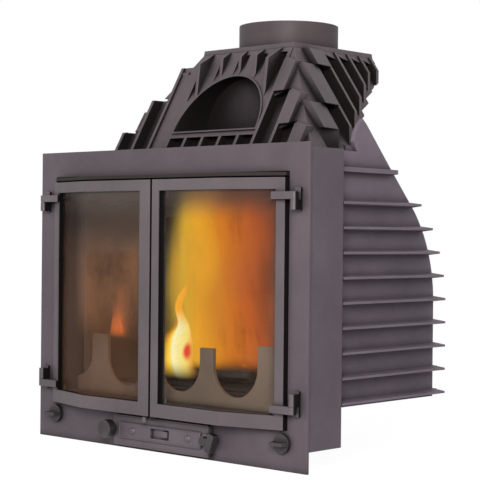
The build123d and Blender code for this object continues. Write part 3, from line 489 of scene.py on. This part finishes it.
# %% Give every piece of the model its finish
finish_of_slot = {
    "plate": plate_iron,
    "casing": casing_iron,
    "body": body_iron,
    "dome": dome_iron,
    "doors": door_iron,
    "controls": control_iron,
    "steel": steel,
    "glass": right_glass,
    "seal": rope,
    "lining": brick,
}
finish_of_piece = {
    "left_door_glass": left_glass,
    "log_guard": guard_iron,
    "flue_collar": collar_iron,
    "back_wall": back_iron,
    "control_screws": control_iron,
    "latch_roller": control_iron,
}
for piece in ("left_air_knob", "right_air_knob", "pull_knob", "control_lever"):
    finish_of_piece[piece] = knob_iron
for piece in ("door_frame", "throat", "base_plate", "fire_grate", "shaker_plate"):
    finish_of_piece[piece] = soot_iron
for part in frame["record"]["subparts"]:
    material = finish_of_piece.get(part["node"], finish_of_slot[part["material_slot"]])
    holder = nodes[part["node"]]
    holder.data.materials.clear()
    holder.data.materials.append(material)

# %% [markdown]
# The fire, the logs and the small forms are meshes made in code, from points and faces. They could
# be drawn by hand, but written down as numbers they can be measured and changed. They sit inside
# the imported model's box, and each rides with the body that it belongs to, so that a pane's lip
# swings with its door.

# %% Make a mesh piece
def add_mesh(name, points, faces, material, body):
    """A smooth mesh piece that rides on a body."""
    mesh = bpy.data.meshes.new(name)
    mesh.from_pydata([tuple(point) for point in points], [], faces)
    mesh.validate()
    mesh.materials.append(material)
    mesh.shade_smooth()
    piece = bpy.data.objects.new(name, mesh)
    bpy.context.scene.collection.objects.link(piece)
    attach(piece, body)
    return piece


print("mesh pieces can be made")

# %% [markdown]
# Flames are thin sheets of glowing gas that lick upwards and tear off at the top, and seen over a
# moment they blur into soft columns. A cloud of smoke and fire could be simulated, but it would be
# slow to work out and heavy to keep. So each flame is a thin curtain, and its material does the rest:
# the colour runs across it from the yellow heart to the red outer flames, its rims, foot and crest
# fade out, and slow noise, stretched upwards, sways it and tears it into tongues. A flame gives
# light and casts no shade, so its shader is a glow mixed with clear air.

# %% How a flame glows
def mix_shaders(tree, amount, first, second, output_kind):
    """Mixes two shaders by an amount and hands the result to the tree's output."""
    mix = tree.nodes.new("ShaderNodeMixShader")
    tree.links.new(amount, mix.inputs[0])
    tree.links.new(first.outputs[0], mix.inputs[1])
    tree.links.new(second.outputs[0], mix.inputs[2])
    out = next(node for node in tree.nodes if node.type == output_kind)
    tree.links.new(mix.outputs[0], out.inputs["Surface"])


def add_red_spot(tree, colour, spot, up):
    """A red spot low in the flame, and orange from its middle up to the tip."""
    away = tree.nodes.new("ShaderNodeVectorMath")
    away.operation = "DISTANCE"
    away.inputs[1].default_value = (0.78, 0.24, 0)
    tree.links.new(spot, away.inputs[0])
    inside = smooth_step(tree, away.outputs["Value"], 0.10, 0.03)
    colour = blend(tree, inside, colour, (0.80, 0.06, 0.03))
    return blend(tree, smooth_step(tree, up, 0.44, 0.66), colour, (1.0, 0.44, 0.03))


def flame_finish(name, colours, brightness, side_fade, foot, crest, gaps, red_spot=False):
    """Glowing gas. The colours run across, and the rims, the foot and the crest fade out."""
    material, tree, shader = new_material(name)
    tree.nodes.remove(shader)
    spot = tree.nodes.new("ShaderNodeTexCoord")
    split = tree.nodes.new("ShaderNodeSeparateXYZ")
    tree.links.new(spot.outputs["UV"], split.inputs["Vector"])
    up = split.outputs["Y"]
    sway = minus(tree, noise(tree, 9.0, 2.0, 0.5, stretch=(1, 1, 0.45)), 0.5)
    swayed_across = plus(tree, split.outputs["X"], times(tree, sway, 0.35))
    swayed_up = plus(tree, up, times(tree, sway, 0.5))
    wisps = noise(tree, 26.0, 4.0, 0.6, stretch=(1, 1, 0.28))
    colour = ramp(tree, swayed_across, colours)
    if red_spot:
        colour = add_red_spot(tree, colour, spot.outputs["UV"], up)
    glow = tree.nodes.new("ShaderNodeEmission")
    glow.inputs["Strength"].default_value = brightness
    tree.links.new(colour, glow.inputs["Color"])
    left_rim = smooth_step(tree, swayed_across, 0.0, side_fade)
    right_rim = smooth_step(tree, swayed_across, 1.0, 1 - side_fade)
    ends = times(tree, smooth_step(tree, up, *foot), smooth_step(tree, swayed_up, *crest))
    whole = times(tree, times(tree, left_rim, right_rim), ends)
    cover = times(tree, whole, smooth_step(tree, wisps, *gaps), clamp=True)
    clear = tree.nodes.new("ShaderNodeBsdfTransparent")
    mix_shaders(tree, cover, clear, glow, "OUTPUT_MATERIAL")
    return material


print("flames can glow")

# %% [markdown]
# Four kinds of flame burn behind the glass. The blaze at the back is wide and turns from gold to a
# dull red on its right. The column in front of it is tall, soft and yellower. The heart is the
# bright flame before the logs, nearly white in its middle, with a red spot low on its right and an
# orange tip. The embers glow low at the left. The colours could be worked out from a temperature,
# but a fire is far brighter than a room, so they are written here as a picture of it shows them.

# %% The colours of the fire
blaze = flame_finish(
    "flame_blaze",
    [(0.08, (0.30, 0.22, 0.04)), (0.30, (0.80, 0.36, 0.02)), (0.50, (0.66, 0.20, 0.015)),
     (0.74, (0.48, 0.10, 0.02)), (1.0, (0.22, 0.07, 0.035))],
    brightness=1.0, side_fade=0.28, foot=(0.0, 0.13), crest=(1.12, 0.70), gaps=(0.05, 0.48))
column = flame_finish(
    "flame_column",
    [(0.08, (0.32, 0.24, 0.04)), (0.38, (0.74, 0.42, 0.03)), (0.60, (0.82, 0.36, 0.02)),
     (0.95, (0.60, 0.16, 0.01))],
    brightness=1.0, side_fade=0.42, foot=(0.0, 0.12), crest=(1.14, 0.72), gaps=(0.14, 0.50))
embers = flame_finish(
    "flame_embers",
    [(0.1, (0.55, 0.12, 0.02)), (0.5, (1.0, 0.20, 0.03)), (0.9, (0.45, 0.10, 0.03))],
    brightness=1.5, side_fade=0.45, foot=(0.0, 0.35), crest=(1.06, 0.66), gaps=(0.15, 0.5))
heart = flame_finish(
    "flame_heart",
    [(0.08, (0.95, 0.34, 0.02)), (0.28, (1.0, 0.66, 0.05)), (0.50, (1.0, 0.93, 0.50)),
     (0.72, (1.0, 0.78, 0.20)), (0.92, (0.95, 0.30, 0.02))],
    brightness=1.0, side_fade=0.26, foot=(0.0, 0.16), crest=(1.10, 0.90), gaps=(0.0, 0.05),
    red_spot=True)
print("flame finishes made")

# %% [markdown]
# A flame leans and swells on its way up. Its outline could be cut from a flat sheet, but a curtain
# with a wavy plan looks like gas from every side. A few numbers say where its middle line runs,
# how wide it is and how deep in the fire it stands, from foot to tip, and a smooth curve fills in
# the rest. The curtains hang in front of the logs, where the flames turn up round the baffle's
# front edge on their way to the flue.

# %% A curtain of flame
def eased(values, up):
    """A value on a smooth curve through evenly spaced ones."""
    spot = up * (len(values) - 1)
    left = min(int(spot), len(values) - 2)
    share = spot - left
    neighbours = [min(max(left + step, 0), len(values) - 1) for step in (-1, 0, 1, 2)]
    before, start, end, after = (values[number] for number in neighbours)
    bend = 2 * before - 5 * start + 4 * end - after + share * (3 * (start - end) + after - before)
    return start + 0.5 * share * (end - before + share * bend)


def flame_sheet(name, finish, middle, half_widths, depths, phase, curl=0.0):
    """A curtain of flame round a middle line, with its half widths and depths on the way up."""
    columns = 24
    rows = 30
    ripple_depth = 7
    points = []
    for row in range(rows + 1):
        up = row / rows
        centre = eased([across for across, height in middle], up)
        height = eased([height for across, height in middle], up)
        for column_number in range(columns + 1):
            side = 2 * column_number / columns - 1
            across = centre + side * eased(half_widths, up)
            ripple = ripple_depth * math.sin(5 * side + 4 * up + phase) + curl * side * side
            points.append(place(across, eased(depths, up) + ripple, height))
    width = columns + 1
    faces = []
    for row in range(rows):
        for column_number in range(columns):
            corner = row * width + column_number
            faces.append((corner, corner + 1, corner + width + 1, corner + width))
    sheet = add_mesh(name, points, faces, finish, "insert")
    uv = sheet.data.uv_layers.new(name="flame")
    for loop in sheet.data.loops:
        row, column_number = divmod(loop.vertex_index, width)
        uv.data[loop.index].uv = (column_number / columns, row / rows)
    print(name, "stands", middle[-1][1] - middle[0][1], "mm high")


# %% [markdown]
# The middle lines are pairs of millimetres, right of the middle and above the floor. The blaze and
# the column need three points each, as they rise nearly straight. The heart has seven, because it
# swells above the logs, thins to a neck and leans to its tip.

# %% Hang the flames
flame_sheet("flame_back", blaze, [(2, 140), (12, 330), (26, 516)],
            half_widths=[180, 176, 140], depths=[165, 138, 126], phase=0.4, curl=14)
flame_sheet("flame_middle", column, [(-62, 140), (-52, 300), (-30, 516)],
            half_widths=[112, 98, 74], depths=[150, 132, 119], phase=2.2, curl=8)
flame_sheet("flame_front", heart,
            [(-98, 120), (-106, 160), (-99, 198), (-84, 230), (-93, 262), (-80, 288), (-56, 310)],
            half_widths=[54, 60, 50, 22, 8, 9, 3], depths=[136, 135, 134, 133, 132, 131, 130],
            phase=3.1)
flame_sheet("flame_left", embers, [(-254, 192), (-256, 240), (-248, 306)],
            half_widths=[44, 42, 28], depths=[128, 126, 126], phase=1.2)

# %% [markdown]
# The logs are charred black, with a grey ash bloom and a red glow in the cracks. The cracks could
# be cut into the mesh, but they are many and thin, so one noise that is stretched along the bark
# drives the colour, the glow and the bump together.

# %% Log finish
char, tree, shader = new_material("charred_wood")
crack = noise(tree, 40.0, 6.0, 0.65, stretch=(0.25, 1, 1))
bark_tones = [(0.35, (0.01, 0.008, 0.007)), (0.6, (0.06, 0.045, 0.035)), (0.8, (0.22, 0.2, 0.18))]
glow_tones = [(0.30, (1.0, 0.22, 0.02)), (0.38, (0, 0, 0))]
tree.links.new(ramp(tree, crack, bark_tones), shader.inputs["Base Color"])
tree.links.new(ramp(tree, crack, glow_tones), shader.inputs["Emission Color"])
shader.inputs["Emission Strength"].default_value = 0.8
shader.inputs["Roughness"].default_value = 0.9
bumps(tree, shader, [(crack, 0.8, 0.004)])
print("log finish made")

# %% [markdown]
# Three split logs burn above the grate, behind the guard. A plain cylinder would look turned, so
# each log is a ring of lumps that are drawn by chance from a fixed seed. The lumps run the whole
# length, as the ridges of split wood do, and the ends are a little narrower.

# %% Lay the logs
def log(name, start, end, radius, seed):
    """A lumpy split log between two points."""
    chance = random.Random(seed)
    axis = (end - start).normalized()
    side = axis.cross(Vector((0, 0, 1))).normalized()
    up = side.cross(axis)
    rings_along = 22
    around = 26
    lumps = [1 + 0.16 * chance.uniform(-1, 1) for _ in range(around)]
    points = []
    for ring_number in range(rings_along + 1):
        along = ring_number / rings_along
        taper = 1 - 0.12 * abs(2 * along - 1) ** 6
        for step in range(around):
            turn = 2 * math.pi * step / around
            reach = radius * taper * lumps[step] * (1 + 0.05 * math.sin(9 * along + step))
            centre = start.lerp(end, along)
            points.append(centre + reach * (math.cos(turn) * side + math.sin(turn) * up))
    faces = []
    for ring_number in range(rings_along):
        for step in range(around):
            here = ring_number * around + step
            beside = ring_number * around + (step + 1) % around
            faces.append((here, beside, beside + around, here + around))
    faces.append(tuple(range(around))[::-1])
    faces.append(tuple(range(rings_along * around, (rings_along + 1) * around)))
    add_mesh(name, points, faces, char, "insert")
    print(name, "is", round((end - start).length * 1000), "mm long")


log("log_left", place(-210, 192, 152), place(40, 205, 150), 0.030, 3)
log("log_right", place(-90, 262, 152), place(190, 240, 150), 0.032, 5)
log("log_top", place(-150, 200, 204), place(130, 262, 206), 0.025, 8)

# %% [markdown]
# The small forms of the castings. A pattern maker rounds every inner edge of a door frame into a
# lip, and runs a bead round a raised panel, because sand breaks away from sharp edges. A lip could
# be cut with a bevel, but a round bar laid along the edge gives the same line of light and leaves
# the casting's own mesh alone. Where the run turns a corner the bar is mitred, so it is wider
# across the corner than along its straight parts.

# %% Round bars along edges
def mitre(before, middle, after):
    """The way along a bar at one of its corners, and how much wider the mitre makes it there."""
    sharpest = 0.3
    arriving = (middle - before).normalized() if middle != before else (after - middle).normalized()
    leaving = (after - middle).normalized() if middle != after else arriving
    along = (arriving + leaving).normalized()
    return along, 1 / max(sharpest, along.dot(arriving))


def tube(name, runs, radius, material, body, closed=True):
    """Round bars along runs of points, joined into one mesh."""
    around = 10
    straight_back = Vector((0, 1, 0))
    points = []
    faces = []
    for run in runs:
        count = len(run)
        base = len(points)
        for number, middle in enumerate(run):
            before = run[number - 1] if closed or number else middle
            after = run[(number + 1) % count] if closed or number < count - 1 else middle
            along, stretch = mitre(before, middle, after)
            side = along.cross(straight_back).normalized()
            outward = side.cross(along)
            for step in range(around):
                turn = 2 * math.pi * step / around
                spoke = stretch * math.cos(turn) * side + math.sin(turn) * outward
                points.append(middle + radius * spoke)
        last = count if closed else count - 1
        for number in range(last):
            start = base + number * around
            end = base + (number + 1) % count * around
            for step in range(around):
                following = (step + 1) % around
                faces.append((start + step, start + following, end + following, end + step))
        if not closed:
            faces.append(tuple(base + step for step in range(around)))
            faces.append(tuple(base + (count - 1) * around + step for step in range(around))[::-1])
    add_mesh(name, points, faces, material, body)
    print(name, "has", len(runs), "runs")


# %% [markdown]
# Each pane lies in a rebate whose inner edge is rounded. The doors are flat in the middle and bend
# back at a kink towards the plate's sides, so the lip follows the same two straight parts, just in
# front of the glass. Its corners are found from the pane's own box, which keeps the lip on the
# glass if the door changes.

# %% Lay the pane lips
door_reach = 40.0
kink = 179.0
slope = 0.26
pane_lap = 5.0
lip_radius = 1.6


def bow_depth(across):
    """Depth of the doors' bowed front at a distance from the middle, in millimetres."""
    return -door_reach + slope * max(0.0, abs(across) - kink)


for side, body in (("left", "left_door"), ("right", "right_door")):
    low, high = (corner * 1000 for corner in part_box(side + "_door_glass"))
    x0 = low[0] + pane_lap
    x1 = high[0] - pane_lap
    z0 = low[2] + pane_lap
    z1 = high[2] - pane_lap
    bend = -kink if side == "left" else kink
    plan = sorted((x0, bend, x1))
    ring = [(x, z0) for x in plan] + [(x, z1) for x in plan[::-1]]
    run = [place(x, bow_depth(x) + lip_radius, z) for x, z in ring]
    tube(side + "_pane_lip", [run], lip_radius / 1000, door_iron, body)


# %% [markdown]
# The lower panel and the control plate on it have a raised bead all round, a little inside their
# edges, with round corners. It could be modelled with the plate, but a bead a millimetre high would
# add many faces there for one line of light. So the same round bar is laid along a ring of points
# on each plate's front face, which is read from the plate's box.

# %% Lay the panel beads
def rounded_ring(low, high, inset, lift):
    """Points round a plate's front face, inside its edge, with rounded corners."""
    radius = 4
    x0 = low[0] + inset
    x1 = high[0] - inset
    z0 = low[2] + inset
    z1 = high[2] - inset
    depth = low[1] + depth_of_origin * 1000 + lift
    ring = []
    corners = ((x1 - radius, z1 - radius, 0), (x0 + radius, z1 - radius, 1),
               (x0 + radius, z0 + radius, 2), (x1 - radius, z0 + radius, 3))
    for x, z, quarter in corners:
        for step in range(5):
            turn = math.pi / 2 * (quarter + step / 4)
            ring.append(place(x + radius * math.cos(turn), depth, z + radius * math.sin(turn)))
    return ring


low, high = (corner * 1000 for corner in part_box("lower_panel"))
beads = [rounded_ring(low, high, 3.0, 0.3)]
low, high = (corner * 1000 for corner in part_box("control_plate"))
beads.append(rounded_ring(low, high, 2, 0.2))
tube("panel_beads", beads, 0.0011, control_iron, "insert")

# %% [markdown]
# The top casting sits on the side walls, and a thin bright line of light runs along both joints.
# A pale bead paints it there as a highlight. A flat stripe in the wall's finish would do from afar,
# but a thin round bar stands out a little and catches the light.

# %% Lay the joint highlight
joint_height = 534.0
joint_across = 313.6
joint_depths = (112, 156, 208, 262)
joints = []
for side in (-1, 1):
    joints.append([place(side * joint_across, depth, joint_height) for depth in joint_depths])
# Pale round bars lie along both joints as a painted highlight.
tube("joint_highlight_bead", joints, 0.0022, joint_highlight_paint, "insert", closed=False)

# %% [markdown]
# The insert stands on a pale floor that runs out into white. More light could bleach the floor,
# but it would bleach the iron too. So rays that come straight from the camera see a white glow
# nine parts in ten, and the tenth part keeps a hint of the insert's shadow. Mirrors and glass are
# treated like the camera, so that they show the same background.

# %% Floor
def camera_sees(tree):
    """One for rays that see the background directly, by mirror or through glass."""
    path = tree.nodes.new("ShaderNodeLightPath")
    seen = larger(tree, path.outputs["Is Camera Ray"], path.outputs["Is Glossy Ray"])
    return larger(tree, seen, path.outputs["Is Transmission Ray"])


floor_paint, tree, shader = new_material("pale_floor")
shader.inputs["Base Color"].default_value = (0.8, 0.8, 0.8, 1)
shader.inputs["Roughness"].default_value = 0.9
white = tree.nodes.new("ShaderNodeEmission")
white.inputs["Strength"].default_value = 1.07
mix_shaders(tree, times(tree, camera_sees(tree), 0.9), shader, white, "OUTPUT_MATERIAL")
floor_mesh = bpy.data.meshes.new("floor")
half = 12.0
floor_corners = [(-half, -half, 0), (half, -half, 0), (half, half, 0), (-half, half, 0)]
floor_mesh.from_pydata(floor_corners, [], [(0, 1, 2, 3)])
floor_mesh.materials.append(floor_paint)
floor = bpy.data.objects.new("floor", floor_mesh)
bpy.context.scene.collection.objects.link(floor)
floor.location.z = bare_box[0][2] - 0.0005
print("floor laid at", floor.location.z)

# %% [markdown]
# The world lights the insert softly from all sides with a grey that is a third of white, while the
# camera sees it pure white. One setting could serve both, but then a white background would wash
# out the dark iron.

# %% World
world = bpy.data.worlds.new("studio")
bpy.context.scene.world = world
world.use_nodes = True
tree = world.node_tree
background = tree.nodes["Background"]
background.inputs["Strength"].default_value = 0.33
background.inputs["Color"].default_value = (1, 1, 1, 1)
white = tree.nodes.new("ShaderNodeBackground")
white.inputs["Color"].default_value = (1, 1, 1, 1)
mix_shaders(tree, camera_sees(tree), background, white, "OUTPUT_WORLD")
print("world light", background.inputs["Strength"].default_value)

# %% [markdown]
# Three square lamps bring out the castings. The key stands behind the camera and above it, and is
# the smallest, so that the ribs and the fins throw shadows that can be told apart. The fill at the
# left is broad and weak, and a faint lamp above draws the top edges. A single large lamp would be
# simpler, but it would leave the black iron flat.

# %% Lamps
def soft_lamp(name, spot, aim, size, power):
    """A square lamp aimed at a point."""
    lamp = bpy.data.lights.new(name, "AREA")
    lamp.size = size
    lamp.energy = power
    holder = bpy.data.objects.new(name, lamp)
    holder.location = spot
    holder.rotation_euler = (Vector(aim) - Vector(spot)).to_track_quat("-Z", "Y").to_euler()
    bpy.context.scene.collection.objects.link(holder)
    print(name, "lamp", power, "W")


soft_lamp("key", (2.0, -2.4, 1.25), (0, 0, 0.4), 1.1, 104)
soft_lamp("fill", (-2.4, -2.4, 1.2), (0, 0, 0.4), 1.8, 17)
soft_lamp("top", (0.2, 0.2, 2.8), (0, 0, 0.5), 1.6, 6)

# %% [markdown]
# The camera stands where the photograph was taken: to the right of the insert, level with its
# middle and about 2.7 metres from the plate, with a long lens. Its place and its turns could be set
# by eye, but they were worked out from points that were measured on the castings.

# %% Camera
camera_right = 1.947128
camera_depth = -1.911905
camera_height = 0.405683
azimuth = math.radians(42.563)
tilt = math.radians(0.209)
roll = math.radians(0.553)
level_out = math.cos(tilt)
forward = Vector((-math.sin(azimuth) * level_out, math.cos(azimuth) * level_out, -math.sin(tilt)))
level_right = Vector((math.cos(azimuth), math.sin(azimuth), 0))
level_up = level_right.cross(forward)
right = math.cos(roll) * level_right + math.sin(roll) * level_up
up = -math.sin(roll) * level_right + math.cos(roll) * level_up
lens = bpy.data.cameras.new("camera")
lens.sensor_width = 36
lens.lens = 110.34
lens.clip_end = 50
camera = bpy.data.objects.new("camera", lens)
turn = Matrix((right, up, -forward)).transposed().to_4x4()
stand = Matrix.Translation((camera_right, camera_depth - depth_of_origin, camera_height))
camera.matrix_world = stand @ turn
bpy.context.scene.collection.objects.link(camera)
bpy.context.scene.camera = camera
bpy.context.scene.view_settings.view_transform = "Standard"
print("camera at", tuple(camera.matrix_world.translation))
